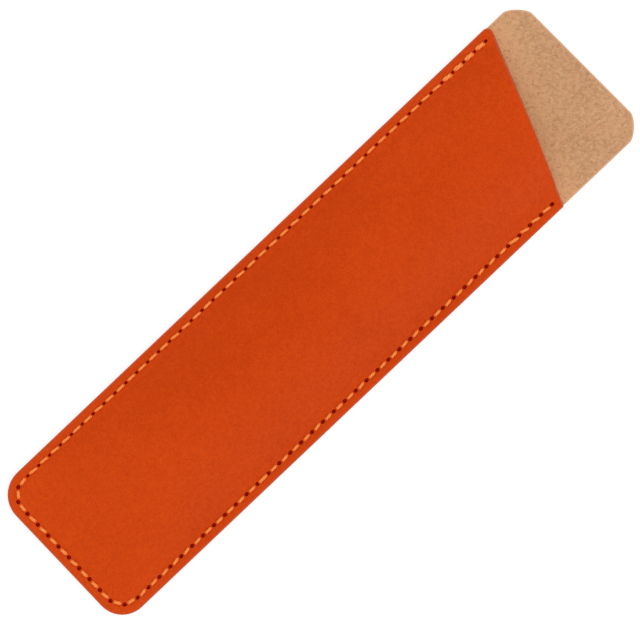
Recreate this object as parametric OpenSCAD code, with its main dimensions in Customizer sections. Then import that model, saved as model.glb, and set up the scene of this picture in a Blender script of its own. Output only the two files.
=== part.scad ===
// Sleeve for one pen, in millimetres.
// Two leather panels are sewn together along the sides and the base. The front one is shorter,
// its top edge is the slanted mouth, and it stands up in an arch over the pen.
// The sleeve lies on its back. X is across, Y is along it towards the mouth, Z is up.
// The origin is at the middle of the back face.

/* [Outline] */
// Length of the back panel, from the base to the end above the mouth
sleeve_l = 160; // [130:1:200]
// Width across the front panel
sleeve_w = 40.6; // [34:0.2:60]
// Radius of the two corners at the base
base_corner_r = 6; // [3:0.5:9]
// Radius of the two corners above the mouth
end_corner_r = 5.4; // [2:0.2:9]
// How far the back panel's edge lies inside the front panel's
back_inset = 0.2; // [0:0.05:0.5]

/* [Mouth] */
// Distance of the mouth from the base, on the middle line
mouth_l = 143; // [90:0.5:146]
// Slant of the mouth, in degrees
mouth_angle = 21.4; // [0:0.2:24]
// Radius of the front panel's two corners at the mouth
mouth_corner_r = 0.6; // [0.4:0.1:3]

/* [Leather] */
// Thickness of the front panel
front_t = 1.4; // [1.2:0.1:2]
// Thickness of the back panel
back_t = 1.4; // [1.2:0.1:2]

/* [Arch] */
// Clear height of the pocket on the middle line, at the mouth
arch_mouth_h = 5.6; // [4.6:0.1:9]
// Clear height of the pocket on the middle line, where the arch has risen from the base
arch_base_h = 5.2; // [4.6:0.1:9]
// Length over which the arch rises from the base seam
arch_rise_l = 30; // [20:1:45]
// Fullness of the arch: lower values are boxier
arch_fullness = 1.3; // [1.1:0.1:2]
// Flat seam between the stitches and the foot of the arch
arch_foot = 0.85; // [0.6:0.05:2]

/* [Seam] */
// Distance of the stitches from the edge
seam_inset = 2.15; // [1.6:0.05:3]
// Radius of the seam's two corners
seam_corner_r = 4.4; // [2.5:0.1:7]
// Distance from the last holes to the mouth, along the sides
seam_end_gap = 2.4; // [1.5:0.1:5]
// Wanted length of a stitch, which is rounded so that whole stitches fill the seam
stitch_l = 3.34; // [2.6:0.02:4.5]
// Stitches at each end of the seam that are sewn twice
tack_count = 4; // [0:1:6]

/* [Thread] */
// Diameter of the thread
thread_d = 0.65; // [0.45:0.05:0.75]
// Thickness of a run that is sewn twice, as a share of a single one
tack_swell = 1.25; // [1:0.05:1.3]
// Diameter of the holes
hole_d = 0.9; // [0.85:0.05:1.2]
// Depth of the groove that the front stitches have pulled into the leather
groove_depth = 0.35; // [0.2:0.05:0.5]
// Play between the thread and the leather round it
thread_play = 0.03; // [0.02:0.01:0.06]

/* [Hidden] */

tan_suede = [0.80, 0.60, 0.45];
orange_leather = [0.80, 0.27, 0.08];
orange_thread = [0.90, 0.42, 0.18];

// Steps in a rounded corner of an outline
corner_steps = 12;
// Cells of the arched sheet: from the middle line to a foot, along the rise, and on to the mouth
arch_cells_x = 9;
arch_cells_rise = 10;
arch_cells_run = 3;
// Sides of the thread
thread_sides = 8;
// Overshoot of every cut
cut = 1;
// Half the reach of the differences that measure the arch's slope
probe = 0.01;

half_w = sleeve_w / 2;
seam_x = half_w - seam_inset;
arch_half_w = seam_x - arch_foot;
arch_base_y = seam_inset + arch_foot;
seam_z = back_t + front_t;
mouth_slope = tan(mouth_angle);

// Height of the mouth's edge above the base, at x
function mouth_y(x) = mouth_l - mouth_slope * x;

// Outline of a convex plate with rounded corners.
// Each corner is [x, y, radius], and they run anticlockwise.
function unit(v) = v / norm(v);
function rounded_corner(before, corner, after) =
    let (
        point = [corner.x, corner.y],
        back = unit([before.x, before.y] - point),
        ahead = unit([after.x, after.y] - point),
        half_angle = acos(back * ahead) / 2,
        centre = point + unit(back + ahead) * corner.z / sin(half_angle),
        turn = 180 - 2 * half_angle,
        start = atan2(-back.x, back.y)
    )
    [for (i = [0:corner_steps])
        let (angle = start - 180 + turn * i / corner_steps)
        centre + corner.z * [cos(angle), sin(angle)]];
function rounded_outline(corners) =
    let (n = len(corners))
    [for (i = [0:n - 1])
        each rounded_corner(corners[(i + n - 1) % n], corners[i], corners[(i + 1) % n])];

// The seam is a U. It starts at the mouth on the left, and positions along it are lengths from there.
seam_left_y = mouth_y(-seam_x) - seam_end_gap;
seam_right_y = mouth_y(seam_x) - seam_end_gap;
seam_turn_y = seam_inset + seam_corner_r;
left_l = seam_left_y - seam_turn_y;
turn_l = PI / 2 * seam_corner_r;
base_l = 2 * (seam_x - seam_corner_r);
right_l = seam_right_y - seam_turn_y;
seam_l = left_l + turn_l + base_l + turn_l + right_l;
stitch_count = round(seam_l / stitch_l);

function on_turn(centre_x, angle) = [centre_x, seam_turn_y] + seam_corner_r * [cos(angle), sin(angle)];
function seam_point(s) =
    let (
        s1 = s - left_l,
        s2 = s1 - turn_l,
        s3 = s2 - base_l,
        s4 = s3 - turn_l,
        turn_x = seam_x - seam_corner_r
    )
    s1 < 0 ? [-seam_x, seam_left_y - s]
    : s2 < 0 ? on_turn(-turn_x, 180 + 90 * s1 / turn_l)
    : s3 < 0 ? [-turn_x + s2, seam_inset]
    : s4 < 0 ? on_turn(turn_x, 270 + 90 * s3 / turn_l)
    : [seam_x, seam_turn_y + s4];
holes = [for (i = [0:stitch_count]) seam_point(seam_l * i / stitch_count)];

// A stitch near an end of the seam is sewn twice, and its holes are wider too
function stitch_swell(i) = i < tack_count || i >= stitch_count - tack_count ? tack_swell : 1;
function hole_swell(i) = tack_count > 0 && (i <= tack_count || i >= stitch_count - tack_count)
    ? tack_swell : 1;

// Inner face of the front panel: an arch over the pocket, flat beyond its feet
function bulge(t) = pow(max(0, 1 - t * t), arch_fullness);
function arch_h(x, y) =
    let (
        run = min(1, max(0, (y - arch_base_y) / arch_rise_l)),
        along = (y - arch_base_y) / (mouth_l - arch_base_y),
        full_h = arch_base_h + (arch_mouth_h - arch_base_h) * along
    )
    full_h * bulge(x / arch_half_w) * bulge(1 - run);
function inner_point(x, y) = [x, y, back_t + arch_h(x, y)];
// The outer face lies one thickness further out, square to the inner one
function outer_point(x, y) =
    let (
        slope_x = (arch_h(x + probe, y) - arch_h(x - probe, y)) / (2 * probe),
        slope_y = (arch_h(x, y + probe) - arch_h(x, y - probe)) / (2 * probe)
    )
    inner_point(x, y) + front_t * unit([-slope_x, -slope_y, 1]);

// Closed sheet between two grids of points with the same rows and columns.
// under(i, j) and over(i, j) number the points from below and from above.
module sheet(inner, outer) {
    rows = len(inner);
    columns = len(inner[0]);
    count = rows * columns;
    function under(i, j) = i * columns + j;
    function over(i, j) = count + i * columns + j;
    points = [for (grid = [inner, outer], row = grid, point = row) point];
    faces = [
        for (i = [0:rows - 2], j = [0:columns - 2]) each [
            [over(i, j), over(i + 1, j + 1), over(i, j + 1)],
            [over(i, j), over(i + 1, j), over(i + 1, j + 1)],
            [under(i, j), under(i, j + 1), under(i + 1, j + 1)],
            [under(i, j), under(i + 1, j + 1), under(i + 1, j)]
        ],
        for (i = [0:rows - 2]) each [
            [under(i, 0), under(i + 1, 0), over(i + 1, 0)],
            [under(i, 0), over(i + 1, 0), over(i, 0)],
            [under(i, columns - 1), over(i + 1, columns - 1), under(i + 1, columns - 1)],
            [under(i, columns - 1), over(i, columns - 1), over(i + 1, columns - 1)]
        ],
        for (j = [0:columns - 2]) each [
            [under(0, j), over(0, j + 1), under(0, j + 1)],
            [under(0, j), over(0, j), over(0, j + 1)],
            [under(rows - 1, j), under(rows - 1, j + 1), over(rows - 1, j + 1)],
            [under(rows - 1, j), over(rows - 1, j + 1), over(rows - 1, j)]
        ]
    ];
    polyhedron(points, faces);
}

// Arched sheet, larger than the front panel on every side
module arched_sheet() {
    feet = [for (i = [-arch_cells_x:arch_cells_x]) arch_half_w * sin(90 * i / arch_cells_x)];
    columns = concat([-half_w - cut], feet, [half_w + cut]);
    rise = [for (i = [0:arch_cells_rise])
        arch_base_y + arch_rise_l * (1 - cos(90 * i / arch_cells_rise))];
    rise_end = arch_base_y + arch_rise_l;
    sheet_end = mouth_y(-half_w) + cut;
    run = [for (i = [1:arch_cells_run]) rise_end + (sheet_end - rise_end) * i / arch_cells_run];
    rows = concat([-cut], rise, run);
    sheet(
        [for (y = rows) [for (x = columns) inner_point(x, y)]],
        [for (y = rows) [for (x = columns) outer_point(x, y)]]
    );
}

// A groove lies along the seam. Its floor is at floor_z, and it opens upwards where side is 1 and
// downwards where side is -1.
groove_r = thread_d / 2 * tack_swell + thread_play;
module groove(floor_z, side) {
    module profile() {
        translate([0, floor_z + side * groove_r]) {
            circle(groove_r, $fn = 48);
            translate([-groove_r, side > 0 ? 0 : -seam_z]) square([2 * groove_r, seam_z]);
        }
    }
    turn_x = seam_x - seam_corner_r;
    translate([-seam_x, seam_left_y, 0]) rotate([90, 0, 0]) linear_extrude(left_l) profile();
    translate([seam_x, seam_right_y, 0]) rotate([90, 0, 0]) linear_extrude(right_l) profile();
    translate([-turn_x, seam_inset, 0]) rotate([90, 0, 90]) linear_extrude(base_l) profile();
    for (turn = [[-turn_x, 180], [turn_x, 270]])
        translate([turn.x, seam_turn_y, 0])
        rotate([0, 0, turn.y])
        rotate_extrude(angle = 90, $fn = 96)
        translate([seam_corner_r, 0])
        profile();
}

module punched_holes() {
    for (i = [0:stitch_count])
        translate([holes[i].x, holes[i].y, -cut])
        cylinder(h = seam_z + 2 * cut, d = hole_d * hole_swell(i), $fn = 32);
}

// A thread is one tube along the seam. Between two holes it runs in its groove. In a hole its two
// legs are pressed into one core, which goes down, or up on the back, to the lock between the panels.
// side is 1 for the thread on the front and -1 for the one on the back.
core_share = 0.4;
core_r = core_share * thread_d;
// A run reaches into a hole as far as its full width clears the wall, and the core stands within
core_setback = 0.1;
shoulder_reach = sqrt(pow(hole_d / 2, 2) - pow(thread_d / 2, 2));
core_reach = shoulder_reach - core_setback;
function heading(s) = unit(seam_point(s + probe) - seam_point(s - probe));
function thread_ring(s, r, axis_z, foot_z, side) =
    let (
        middle = seam_point(s),
        ahead = heading(s),
        across = [-ahead.y, ahead.x]
    )
    [for (k = [0:thread_sides - 1])
        let (
            angle = 360 * (k + 0.5) / thread_sides,
            plan = middle + across * r * cos(angle),
            z = is_undef(foot_z) || sin(angle) > 0 ? axis_z + side * r * sin(angle) : foot_z
        )
        [plan.x, plan.y, z]];
function run_axis(r, floor_z, side) = floor_z + side * (thread_play + r);
// A run on a turn bends with its groove
turn_steps = 3;
function meets(low, high, start, l) = high > start && low < start + l;
function run_steps(low, high) =
    meets(low, high, left_l, turn_l) || meets(low, high, left_l + turn_l + base_l, turn_l) ? turn_steps : 1;
module thread(floor_z, side) {
    real_l = seam_l / stitch_count;
    core_z = floor_z + side * (thread_play - core_r);
    function core(s) = thread_ring(s, core_r, core_z, back_t, side);
    function shoulder(s, i) =
        let (r = thread_d / 2 * stitch_swell(i))
        thread_ring(s, r, run_axis(r, floor_z, side), undef, side);
    rings = [
        core(-core_reach),
        for (i = [0:stitch_count - 1])
            let (
                low = i * real_l + shoulder_reach,
                high = (i + 1) * real_l - shoulder_reach,
                steps = run_steps(low, high)
            )
            each [
                core(i * real_l + core_reach),
                for (k = [0:steps]) shoulder(low + (high - low) * k / steps, i),
                core((i + 1) * real_l - core_reach)
            ],
        core(seam_l + core_reach)
    ];
    tube(rings, side < 0);
}

// Closed tube through rings with the same number of points
module tube(rings, turned) {
    n = len(rings[0]);
    last = len(rings) - 1;
    faces = [
        for (i = [0:last - 1], k = [0:n - 1])
            let (a = i * n + k, b = i * n + (k + 1) % n)
            each [[a, b + n, b], [a, a + n, b + n]],
        [for (k = [0:n - 1]) (1 + k) % n],
        [for (k = [0:n - 1]) last * n + (n + 1 - k) % n]
    ];
    polyhedron(
        [for (ring = rings) each ring],
        turned ? [for (face = faces) [for (k = [len(face) - 1:-1:0]) face[k]]] : faces
    );
}

front_floor_z = seam_z - groove_depth;
// The back stitches are flush: the thickest run just clears the back face
back_floor_z = thread_d * tack_swell + 2 * thread_play;

module needle_thread() {
    color(orange_thread) thread(front_floor_z, 1);
}

module bobbin_thread() {
    color(orange_thread) thread(back_floor_z, -1);
}

module front_outline() {
    right_y = mouth_y(half_w);
    left_y = mouth_y(-half_w);
    polygon(rounded_outline([
        [-half_w, 0, base_corner_r],
        [half_w, 0, base_corner_r],
        [half_w, right_y, mouth_corner_r],
        [-half_w, left_y, mouth_corner_r]
    ]));
}

module back_outline() {
    edge_x = half_w - back_inset;
    polygon(rounded_outline([
        [-edge_x, back_inset, base_corner_r - back_inset],
        [edge_x, back_inset, base_corner_r - back_inset],
        [edge_x, sleeve_l, end_corner_r],
        [-edge_x, sleeve_l, end_corner_r]
    ]));
}

module front_panel() {
    color(orange_leather)
    difference() {
        intersection() {
            arched_sheet();
            linear_extrude(height = seam_z + arch_mouth_h + cut) front_outline();
        }
        groove(front_floor_z, 1);
        punched_holes();
    }
}

module back_panel() {
    color(tan_suede)
    difference() {
        linear_extrude(height = back_t) back_outline();
        groove(back_floor_z, -1);
        punched_holes();
    }
}

// The pieces are drawn from the base upwards, and the origin is at the middle of the length
module placed() {
    translate([0, -sleeve_l / 2, 0]) children();
}

placed() back_panel();
placed() front_panel();
placed() needle_thread();
placed() bobbin_thread();
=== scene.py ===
# %% [markdown]
# # Single pen sleeve
# A leather sleeve for one pen, lying on its back. A short orange panel is sewn along three sides
# onto a longer back panel, whose tan flesh side shows above the slanted mouth. This lesson cuts
# the two panels, punches the stitch holes, forms the front over the pen's space and sews the two
# threads, stitch by stitch.
#
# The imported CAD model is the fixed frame. Every piece here stands where its solid stands, in
# metres, with the back face at z = 0, +Y out of the mouth and +X at the mouth's low end.

# %% Load the frame
import math
import random

import bmesh
import bpy
from mathutils import Matrix, Vector


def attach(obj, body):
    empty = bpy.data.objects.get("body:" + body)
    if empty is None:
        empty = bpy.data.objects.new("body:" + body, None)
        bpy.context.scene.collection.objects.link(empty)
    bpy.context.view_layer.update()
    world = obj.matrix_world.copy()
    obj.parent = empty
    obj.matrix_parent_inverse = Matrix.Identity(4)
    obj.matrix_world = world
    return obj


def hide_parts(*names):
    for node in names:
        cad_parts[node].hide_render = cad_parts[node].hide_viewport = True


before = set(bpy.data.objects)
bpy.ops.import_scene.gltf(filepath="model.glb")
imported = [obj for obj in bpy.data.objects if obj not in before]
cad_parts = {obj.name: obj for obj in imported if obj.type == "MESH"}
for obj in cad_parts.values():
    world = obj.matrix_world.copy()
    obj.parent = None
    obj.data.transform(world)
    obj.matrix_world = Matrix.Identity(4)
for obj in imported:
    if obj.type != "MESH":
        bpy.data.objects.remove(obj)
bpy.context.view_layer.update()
MM = 0.001

# %% [markdown]
# ## The camera
# The photo looks straight down, with the sleeve turned so that its mouth points to the upper
# right. So the camera is built from three directions: what is right, what is up and what is back
# in the picture. How far away the photo was taken can't be seen, so a long lens at one metre
# gives a faint perspective, as such pictures have.

# %% Camera
CAMERA_DISTANCE = 1.0
CAMERA_ROLL = math.radians(46.49)
CAMERA_LENS = 254.2
CAMERA_AIM = Vector((1.37, -1.35, 3.0)) * MM

back = Vector((0, 0, 1))
up = Vector((-math.sin(CAMERA_ROLL), math.cos(CAMERA_ROLL), 0))
right = up.cross(back)
bpy.ops.object.camera_add()
camera = bpy.context.object
camera.name = "camera"
camera.data.lens = CAMERA_LENS
turn = Matrix((right, up, back)).transposed().to_4x4()
camera.matrix_world = Matrix.Translation(CAMERA_AIM + back * CAMERA_DISTANCE) @ turn
bpy.context.scene.camera = camera
print("camera at", [round(n, 3) for n in camera.matrix_world.translation])

# %% [markdown]
# ## Floor, daylight and lamps
# The photo is a cut-out on pure white, lit softly, with a little more light from the lower right.
# The world gives most of the light and one large lamp the rest. Together they come to about 1, so
# a colour renders about as it is written. A second lamp, low on the right, gives only the gleam
# that the photo shows on slopes that face it. The floor is white to the camera and to
# reflections by Light Path, and half of what the camera sees there is a real surface, so the
# shadow stays.

# %% Node helpers
def add(tree, kind, inputs=None, **settings):
    """Adds a node. An input that is a socket is linked, and any other value is written in."""
    made = tree.nodes.new(kind)
    for name, value in settings.items():
        setattr(made, name, value)
    for name, value in (inputs or {}).items():
        if isinstance(value, bpy.types.NodeSocket):
            tree.links.new(value, made.inputs[name])
        else:
            made.inputs[name].default_value = value
    return made


def maths(tree, operation, a, b=0.0):
    return add(tree, "ShaderNodeMath", {0: a, 1: b}, operation=operation).outputs[0]


def empty_material(name):
    """A material with no nodes but its output."""
    material = bpy.data.materials.new(name)
    material.use_nodes = True
    material.node_tree.nodes.clear()
    output = material.node_tree.nodes.new("ShaderNodeOutputMaterial")
    return material, material.node_tree, output


def seen_directly(tree):
    """1 for what the camera sees itself, by reflection or through something clear."""
    rays = add(tree, "ShaderNodeLightPath").outputs
    either = maths(tree, "MAXIMUM", rays["Is Camera Ray"], rays["Is Glossy Ray"])
    return maths(tree, "MAXIMUM", either, rays["Is Transmission Ray"])


# %% World
WHITE = (1, 1, 1, 1)
WORLD_STRENGTH = 0.74
bpy.context.scene.view_settings.view_transform = "Standard"
world = bpy.data.worlds.new("studio")
bpy.context.scene.world = world
world.use_nodes = True
tree = world.node_tree
tree.nodes.clear()
light = add(tree, "ShaderNodeBackground", {"Color": WHITE, "Strength": WORLD_STRENGTH})
white = add(tree, "ShaderNodeBackground", {"Color": WHITE, "Strength": 1.0})
rays = add(tree, "ShaderNodeLightPath").outputs
mix = add(tree, "ShaderNodeMixShader", {"Fac": rays["Is Camera Ray"],
                                        1: light.outputs[0], 2: white.outputs[0]})
add(tree, "ShaderNodeOutputWorld", {"Surface": mix.outputs[0]})
print("world light of strength", WORLD_STRENGTH)

# %% Lamps
SOFT_LAMP = {"place": (0.16, 0.08, 1.05), "size": 0.7, "power": 3.4}
GLEAM_LAMP = {"place": (0.80, 0.10, 0.66), "size": 0.4, "power": 1.6}


def round_lamp(name, place, size, power):
    """A round lamp that looks at the middle of the sleeve."""
    bpy.ops.object.light_add(type="AREA", location=place)
    lamp = bpy.context.object
    lamp.name = name
    lamp.data.shape = "DISK"
    lamp.data.size = size
    lamp.data.energy = power
    lamp.rotation_euler = Vector(place).to_track_quat("Z", "Y").to_euler()
    lamp.visible_camera = False
    print(name, "of", power, "W at", place)
    return lamp


round_lamp("soft_lamp", **SOFT_LAMP).visible_glossy = False
round_lamp("gleam_lamp", **GLEAM_LAMP).visible_diffuse = False

# %% Floor
FLOOR_SIZE = 8.0
FLOOR_DROP = 0.05 * MM
FLOOR_PALE, FLOOR_HALF, FLOOR_GLOW = (0.8, 0.8, 0.8, 1), (0.3, 0.3, 0.3, 1), 0.76
bpy.ops.mesh.primitive_plane_add(size=FLOOR_SIZE, location=(0, 0, -FLOOR_DROP))
floor = bpy.context.object
floor.name = "floor"
material, tree, output = empty_material("floor_white")
pale = add(tree, "ShaderNodeBsdfDiffuse", {"Color": FLOOR_PALE})
half = add(tree, "ShaderNodeBsdfDiffuse", {"Color": FLOOR_HALF})
glow = add(tree, "ShaderNodeEmission", {"Color": WHITE, "Strength": FLOOR_GLOW})
shown = add(tree, "ShaderNodeAddShader", {0: half.outputs[0], 1: glow.outputs[0]})
mix = add(tree, "ShaderNodeMixShader", {"Fac": seen_directly(tree), 1: pale.outputs[0],
                                        2: shown.outputs[0]})
tree.links.new(mix.outputs[0], output.inputs["Surface"])
floor.data.materials.append(material)
print("floor", FLOOR_SIZE, "m wide, at z =", -FLOOR_DROP)

# %% [markdown]
# ## Sizes
# The sizes are the CAD source's own values, in millimetres. The photo's corners aren't quite alike,
# so here each has its own radius, given for the left (-1) and the right (1). The tab's corners are
# clipped flatter than a circle, and its end leans a little, so `END_MIDDLE` is just short of the
# sleeve's whole length. Lengths along the sleeve are counted from its base, as a maker would, and
# `BASE_Y` moves them into the frame.

# %% Sizes in millimetres
SLEEVE_L, HALF_W = 160.0, 20.3
BASE_R, END_R = {-1: 6.8, 1: 6.3}, {-1: 4.5, 1: 4.5}
END_SLOPE, END_MIDDLE = math.tan(math.radians(1.4)), SLEEVE_L - 0.1
ROUND, CLIPPED = 0.5, 0.37
MOUTH_R = {-1: 1.4, 1: 0.3}
BACK_INSET = 0.2
BACK_T, FRONT_T = 1.4, 1.4
MOUTH_L, MOUTH_ANGLE = 143.0, math.radians(21.4)
MOUTH_SLOPE = math.tan(MOUTH_ANGLE)
ARCH_HALF_W, ARCH_BASE_Y, ARCH_RISE = 17.3, 3.0, 30.0
ARCH_MOUTH_H, ARCH_BASE_H, ARCH_FULLNESS = 5.6, 5.2, 1.3
ARCH_FOOT = 3.0
SEAM_X, SEAM_INSET, SEAM_R, SEAM_END_GAP = 18.15, 2.15, 4.4, 2.4
STITCHES, TACKED = 93, 4
BASE_Y = -SLEEVE_L / 2
print("sleeve", SLEEVE_L, "by", 2 * HALF_W, "mm, mouth", math.degrees(MOUTH_ANGLE), "degrees")

# %% [markdown]
# ## The seam's path
# One row of stitches runs down the left side, round the base and up the right side. Everything
# that has to do with the sewing follows this path: the sunk line, the holes and both threads. It
# is worked out once, as a point for any length along the seam.

# %% The seam as a path
TURN_Y = SEAM_INSET + SEAM_R
TURN_X = SEAM_X - SEAM_R
SEAM_TOP = {side: MOUTH_L - MOUTH_SLOPE * side * SEAM_X - SEAM_END_GAP for side in (-1, 1)}
TURN_LENGTH = SEAM_R * math.pi / 2
SEAM_PARTS = (SEAM_TOP[-1] - TURN_Y, TURN_LENGTH, 2 * TURN_X, TURN_LENGTH, SEAM_TOP[1] - TURN_Y)
SEAM_L = sum(SEAM_PARTS)
PITCH = SEAM_L / STITCHES


def on_turn(x, angle):
    """The point at this angle on the round turn whose middle is at (x, TURN_Y)."""
    return Vector((x, TURN_Y)) + SEAM_R * Vector((math.cos(angle), math.sin(angle)))


def seam_at(s):
    """The point on the seam at length s from its left end."""
    left, turn, base = SEAM_PARTS[:3]
    if s < left:
        return Vector((-SEAM_X, SEAM_TOP[-1] - s))
    s -= left
    if s < turn:
        return on_turn(-TURN_X, math.pi + s / SEAM_R)
    s -= turn
    if s < base:
        return Vector((-TURN_X + s, SEAM_INSET))
    s -= base
    if s < turn:
        return on_turn(TURN_X, 1.5 * math.pi + s / SEAM_R)
    return Vector((SEAM_X, TURN_Y + s - turn))


def seam_distance(x, y):
    """How far a point of a panel is from the seam's line, in millimetres."""
    side = -1 if x < 0 else 1
    if y > SEAM_TOP[side]:
        return math.hypot(abs(x) - SEAM_X, y - SEAM_TOP[side])
    if y > TURN_Y:
        return abs(abs(x) - SEAM_X)
    if abs(x) > TURN_X:
        return abs(math.hypot(abs(x) - TURN_X, y - TURN_Y) - SEAM_R)
    return abs(y - SEAM_INSET)


print("seam", round(SEAM_L, 1), "mm,", STITCHES, "stitches of", round(PITCH, 3), "mm")

# %% [markdown]
# ## The arch
# The front panel lies flat along its seam and rises between the two sides, where the pen goes.
# The formed height is a formula of place, the same as in the CAD source. A panel is first made
# flat, with all its details, and then each of its points is carried to the curved surface along
# that surface's own normal, which keeps the leather one thickness everywhere. Only at the arch's
# foot the bend is tighter than the leather is thick. There the outer face would fold over itself,
# so its move sideways fades out, as real leather is squeezed together there.

# %% The arch's height and normal
SLOPE_STEP = 0.01


def clamped(share):
    return min(1.0, max(0.0, share))


def bulge(t):
    """A smooth hump, 1 high at t = 0 and down to 0 at t = 1 and t = -1."""
    return max(0.0, 1 - t * t) ** ARCH_FULLNESS


def arch_height(x, y):
    """How far the front's underside stands above the back panel."""
    run = clamped((y - ARCH_BASE_Y) / ARCH_RISE)
    along = (y - ARCH_BASE_Y) / (MOUTH_L - ARCH_BASE_Y)
    full = ARCH_BASE_H + (ARCH_MOUTH_H - ARCH_BASE_H) * along
    return full * bulge(x / ARCH_HALF_W) * bulge(1 - run)


def formed(x, y, height):
    """Where a point of the flat panel, so high above its underside, goes on the formed one."""
    step = SLOPE_STEP
    slope_x = (arch_height(x + step, y) - arch_height(x - step, y)) / (2 * step)
    slope_y = (arch_height(x, y + step) - arch_height(x, y - step)) / (2 * step)
    normal = Vector((-slope_x, -slope_y, 1)).normalized()
    to_foot = clamped((ARCH_HALF_W - abs(x)) / ARCH_FOOT)
    normal.x *= to_foot * to_foot * (3 - 2 * to_foot)
    return Vector((x, y, BACK_T + arch_height(x, y))) + height * normal


print("arch", round(arch_height(0, MOUTH_L), 2), "mm at the mouth")

# %% [markdown]
# ## Modelling helpers
# Every step acts on what is selected, so the selection is always made afresh, by place.

# %% Selecting and finishing
def start_clean():
    """Leaves edit mode and deselects everything, because the CAD nodes come in selected."""
    if bpy.context.object and bpy.context.object.mode != "OBJECT":
        bpy.ops.object.mode_set(mode="OBJECT")
    bpy.ops.object.select_all(action="DESELECT")


def only(obj):
    """Makes obj the one selected and active object."""
    start_clean()
    obj.select_set(True)
    bpy.context.view_layer.objects.active = obj


def pick_points(obj, test):
    """Selects the vertices of obj, in edit mode, whose place passes the test."""
    bpy.ops.mesh.select_mode(type="VERT")
    bpy.ops.mesh.select_all(action="DESELECT")
    points = bmesh.from_edit_mesh(obj.data)
    for vertex in points.verts:
        vertex.select_set(test(vertex.co))
    points.select_flush_mode()
    bmesh.update_edit_mesh(obj.data)


def apply_all(obj):
    """Applies the object's modifiers, in their order."""
    only(obj)
    for modifier in list(obj.modifiers):
        bpy.ops.object.modifier_apply(modifier=modifier.name)


def join_all(objs, name):
    """Joins objects into the first of them."""
    only(objs[0])
    for obj in objs:
        obj.select_set(True)
    bpy.ops.object.join()
    objs[0].name = name
    return objs[0]


def copies(model, places, name, before=lambda mesh, i: None):
    """One copy of the model, with its own mesh, at each place, all joined as one piece.
    Before it is placed, each copy may be changed a little."""
    made = []
    for i, place in enumerate(places):
        copy = model.copy()
        copy.data = model.data.copy()
        before(copy.data, i)
        copy.data.transform(place)
        bpy.context.scene.collection.objects.link(copy)
        made.append(copy)
    bpy.data.objects.remove(model)
    return join_all(made, name)


def measure(obj):
    """Prints a piece's box in millimetres and its triangles."""
    corners = [Vector(corner) for corner in obj.bound_box]
    low = [round(min(c[i] for c in corners) / MM, 2) for i in range(3)]
    high = [round(max(c[i] for c in corners) / MM, 2) for i in range(3)]
    obj.data.calc_loop_triangles()
    print(obj.name, "box", low, high, "mm,", len(obj.data.loop_triangles), "triangles")


# %% [markdown]
# ## Cutting a panel
# A panel starts as a plane at its real size and place. Its corners are rounded with a vertex
# bevel, and the front's mouth is a slanted cut with its own small corners. Two insets make the
# rings that round the cut edge over, as an edge slicker does. Solidify gives the thickness.

# %% Cut a flat panel
CORNER_STEPS, CORNER_ZONE = 12, 0.95
EDGE_RINGS = (0.10, 0.22)
EDGE_DROPS = (0.26, 0.08)
SAME_LEVEL = 1e-6


def round_corners(radius, angle, test, roundness=ROUND):
    """Rounds the corners that pass the test. The angle is the one inside the corner. Roundness
    0.5 gives an arc and 0.25 a straight clip."""
    pick_points(bpy.context.object, test)
    bpy.ops.mesh.bevel(offset=radius * MM / math.tan(angle / 2), segments=CORNER_STEPS,
                       affect="VERTICES", profile=roundness)


def flat_place(place):
    """A place seen from above, in whole tenths of a micrometre."""
    return round(place.x * 1e7), round(place.y * 1e7)


def ring_of(obj):
    """The flat places of the selected vertices."""
    points = bmesh.from_edit_mesh(obj.data)
    return {flat_place(vertex.co) for vertex in points.verts if vertex.select}


def cut_panel(name, low_z, thick, inset, end_y, end_slope, end_r, roundness):
    """A flat panel with rounded edges, in millimetres. Its end is cut across at end_y on the
    middle line, rising to the right by end_slope."""
    start_clean()
    width, length = 2 * (HALF_W - inset), end_y + abs(end_slope) * HALF_W - inset
    bpy.ops.mesh.primitive_plane_add(size=1, location=(0, (BASE_Y + inset + length / 2) * MM,
                                                       low_z * MM))
    panel = bpy.context.object
    panel.name = name
    panel.scale = (width * MM, length * MM, 1)
    bpy.ops.object.transform_apply(location=True, rotation=True, scale=True)
    bpy.ops.object.mode_set(mode="EDIT")
    bpy.ops.mesh.bisect(plane_co=(0, (BASE_Y + end_y) * MM, low_z * MM),
                        plane_no=(-end_slope, 1, 0), clear_outer=True, threshold=1e-7)
    corner_x = CORNER_ZONE * (HALF_W - inset) * MM
    for side in (-1, 1):
        round_corners(end_r[side], math.pi / 2 - side * math.atan(end_slope),
                      lambda co: co.y > 0 and co.x * side > corner_x, roundness)
    for side in (-1, 1):
        round_corners(BASE_R[side] - inset, math.pi / 2,
                      lambda co: co.y < 0 and co.x * side > corner_x)
    bpy.ops.mesh.select_all(action="SELECT")
    rings = []
    for ring in EDGE_RINGS:
        rings.append(ring_of(panel))
        bpy.ops.mesh.select_mode(type="FACE")
        bpy.ops.mesh.inset(thickness=ring * MM, use_even_offset=True)
    bpy.ops.object.mode_set(mode="OBJECT")
    body = panel.modifiers.new("thickness", "SOLIDIFY")
    body.thickness = thick * MM
    body.offset = 1
    apply_all(panel)
    bpy.ops.object.mode_set(mode="EDIT")
    for ring, drop in zip(rings, EDGE_DROPS):
        for level, way in ((low_z + thick, -1), (low_z, 1)):
            pick_points(panel, lambda co: flat_place(co) in ring
                        and abs(co.z - level * MM) < SAME_LEVEL)
            bpy.ops.transform.translate(value=(0, 0, way * drop * MM))
    bpy.ops.object.mode_set(mode="OBJECT")
    measure(panel)
    return panel


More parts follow.
